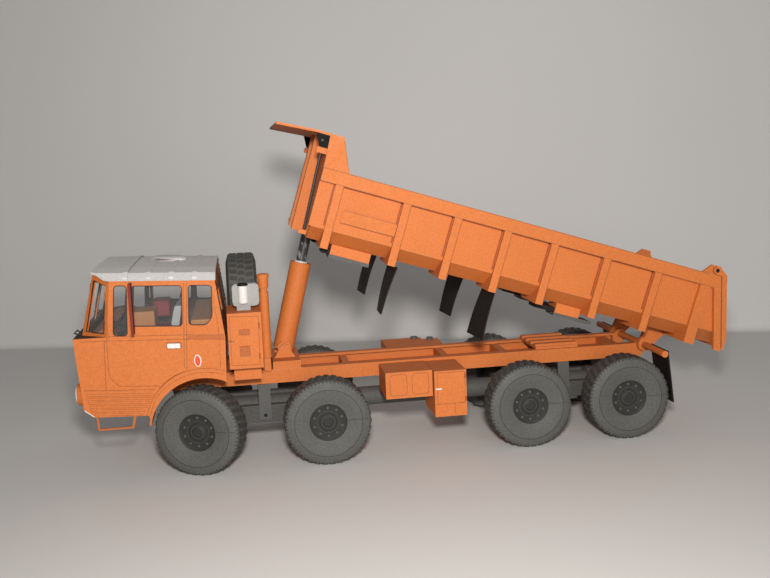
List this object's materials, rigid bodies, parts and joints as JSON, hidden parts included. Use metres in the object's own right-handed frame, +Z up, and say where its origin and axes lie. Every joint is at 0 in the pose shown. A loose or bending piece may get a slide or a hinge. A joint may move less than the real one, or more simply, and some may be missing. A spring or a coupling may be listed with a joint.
{
  "type": "dump truck card model",
  "caption": "Card model of a forward-control dump truck with steered front wheels, a tipping bed on a telescopic hoist and a hinged tail gate.",
  "frame": {"origin": "middle of the model's bounding box, on the floor", "axes": "+X towards the tail, +Y towards the truck's right side, +Z up"},
  "size_m": [0.282, 0.092, 0.1446],
  "materials": {
    "orange_card": "matt printed card",
    "white_card": "matt white card",
    "grey_card": "matt grey card",
    "tyre_card": "matt grey card with a printed sidewall",
    "black_card": "matt black card",
    "pale_card": "matt pale grey card",
    "brown_card": "matt brown card",
    "red_card": "matt dark red card",
    "silver_card": "silver paper",
    "dark_red_card": "dark red card",
    "orange_wire": "painted wire",
    "black_wire": "painted wire",
    "dark_rod": "dark scuffed card tube",
    "clear_film": "clear film"
  },
  "bodies": {
    "root": {"chassis_frame": "orange_card", "bed_rest_pad": "orange_card", "backbone_tube": "grey_card", "axle_tubes": "grey_card", "leaf_springs": "grey_card", "spring_hangers": "grey_card", "hinge_tube": "orange_card", "rear_mudflaps": "black_card", "tool_box": "orange_card", "battery_box": "orange_card", "fuel_tank": "orange_card", "tank_caps": "grey_card", "hoist_base": "orange_card", "equipment_box": "orange_card", "intake_stack": "orange_card", "spare_carrier": "orange_card", "spare_tyre": "tyre_card", "filter_case": "pale_card", "cab_front": "orange_card", "cab_side_left": "orange_card", "cab_side_right": "orange_card", "windscreen_frame": "orange_card", "cab_rear_wall": "orange_card", "cab_roof": "white_card", "cab_floor": "orange_card", "cab_glass": "clear_film", "dashboard": "brown_card", "steering_wheel": "black_card", "cab_seats": "red_card", "headlights": "silver_card", "mirrors": "dark_red_card", "cab_steps": "orange_wire", "nose_handles": "black_wire"},
    "knuckle_left": {"knuckle_left": "grey_card"},
    "knuckle_right": {"knuckle_right": "grey_card"},
    "bed": {"bed_floor": "orange_card", "bed_side_left": "orange_card", "bed_side_right": "orange_card", "bed_front_wall": "orange_card", "bed_canopy": "orange_card", "canopy_gussets": "black_card", "bed_mudguards": "orange_card", "bed_mudflaps": "black_card", "sheet_cord_rods": "black_wire"},
    "tailgate": {"tailgate": "orange_card"},
    "hoist_barrel": {"hoist_barrel": "orange_card", "hoist_gland": "silver_card"},
    "hoist_stage_1": {"hoist_stage_1": "dark_rod"},
    "hoist_stage_2": {"hoist_stage_2": "dark_rod"},
    "hoist_stage_3": {"hoist_stage_3": "dark_rod"},
    "wheel_1_left": {"wheel_1_left": "tyre_card"},
    "wheel_1_right": {"wheel_1_right": "tyre_card"},
    "wheel_2_left": {"wheel_2_left": "tyre_card"},
    "wheel_2_right": {"wheel_2_right": "tyre_card"},
    "wheel_3_left": {"wheel_3_left": "tyre_card"},
    "wheel_3_right": {"wheel_3_right": "tyre_card"},
    "wheel_4_left": {"wheel_4_left": "tyre_card"},
    "wheel_4_right": {"wheel_4_right": "tyre_card"}
  },
  "joints": [
    {"name": "bed_tilt", "type": "hinge", "parent": "root", "child": "bed", "pos_m": [0.11205, 0, 0.0374], "axis": [0, 1, 0], "range_deg": [-17.7, 20.3]},
    {"name": "tailgate_swing", "type": "hinge", "parent": "bed", "child": "tailgate", "pos_m": [0.13651, 0, 0.07326], "axis": [0, -1, 0], "range_deg": [0, 60]},
    {"name": "hoist_swing", "type": "hinge", "parent": "root", "child": "hoist_barrel", "pos_m": [-0.05385, 0, 0.0453], "axis": [0, 1, 0], "range_deg": [-10.97, 12.59]},
    {"name": "hoist_slide_1", "type": "slide", "parent": "hoist_barrel", "child": "hoist_stage_1", "axis": [0.2478, 0, 0.9688], "range_m": [-0.01676, 0.01922]},
    {"name": "hoist_slide_2", "type": "slide", "parent": "hoist_stage_1", "child": "hoist_stage_2", "axis": [0.2478, 0, 0.9688], "range_m": [-0.01676, 0.01922]},
    {"name": "hoist_slide_3", "type": "slide", "parent": "hoist_stage_2", "child": "hoist_stage_3", "axis": [0.2478, 0, 0.9688], "range_m": [-0.01676, 0.01922]},
    {"name": "steer_left", "type": "hinge", "parent": "root", "child": "knuckle_left", "pos_m": [-0.08985, -0.028, 0.0185], "axis": [0, 0, 1], "range_deg": [-9, 47]},
    {"name": "steer_right", "type": "hinge", "parent": "root", "child": "knuckle_right", "pos_m": [-0.08985, 0.028, 0.0185], "axis": [0, 0, 1], "range_deg": [-9, 47]},
    {"name": "roll_1_left", "type": "hinge", "parent": "knuckle_left", "child": "wheel_1_left", "pos_m": [-0.09141, -0.03254, 0.0185], "axis": [0.3256, 0.9455, 0], "continuous": true},
    {"name": "roll_1_right", "type": "hinge", "parent": "knuckle_right", "child": "wheel_1_right", "pos_m": [-0.08828, 0.03254, 0.0185], "axis": [0.3256, 0.9455, 0], "continuous": true},
    {"name": "roll_2_left", "type": "hinge", "parent": "root", "child": "wheel_2_left", "pos_m": [-0.03825, -0.0328, 0.0185], "axis": [0, 1, 0], "continuous": true},
    {"name": "roll_2_right", "type": "hinge", "parent": "root", "child": "wheel_2_right", "pos_m": [-0.03825, 0.0328, 0.0185], "axis": [0, 1, 0], "continuous": true},
    {"name": "roll_3_left", "type": "hinge", "parent": "root", "child": "wheel_3_left", "pos_m": [0.05045, -0.0328, 0.0185], "axis": [0, 1, 0], "continuous": true},
    {"name": "roll_3_right", "type": "hinge", "parent": "root", "child": "wheel_3_right", "pos_m": [0.05045, 0.0328, 0.0185], "axis": [0, 1, 0], "continuous": true},
    {"name": "roll_4_left", "type": "hinge", "parent": "root", "child": "wheel_4_left", "pos_m": [0.09575, -0.0328, 0.0185], "axis": [0, 1, 0], "continuous": true},
    {"name": "roll_4_right", "type": "hinge", "parent": "root", "child": "wheel_4_right", "pos_m": [0.09575, 0.0328, 0.0185], "axis": [0, 1, 0], "continuous": true}
  ],
  "couplings": [
    {"joint": "hoist_swing", "follows": "bed_tilt", "ratio": 0.62},
    {"joint": "steer_right", "follows": "steer_left", "ratio": 1},
    {"joint": "hoist_slide_1", "follows": "bed_tilt", "m_per_rad": 0.05424},
    {"joint": "hoist_slide_2", "follows": "bed_tilt", "m_per_rad": 0.05424},
    {"joint": "hoist_slide_3", "follows": "bed_tilt", "m_per_rad": 0.05424}
  ]
}
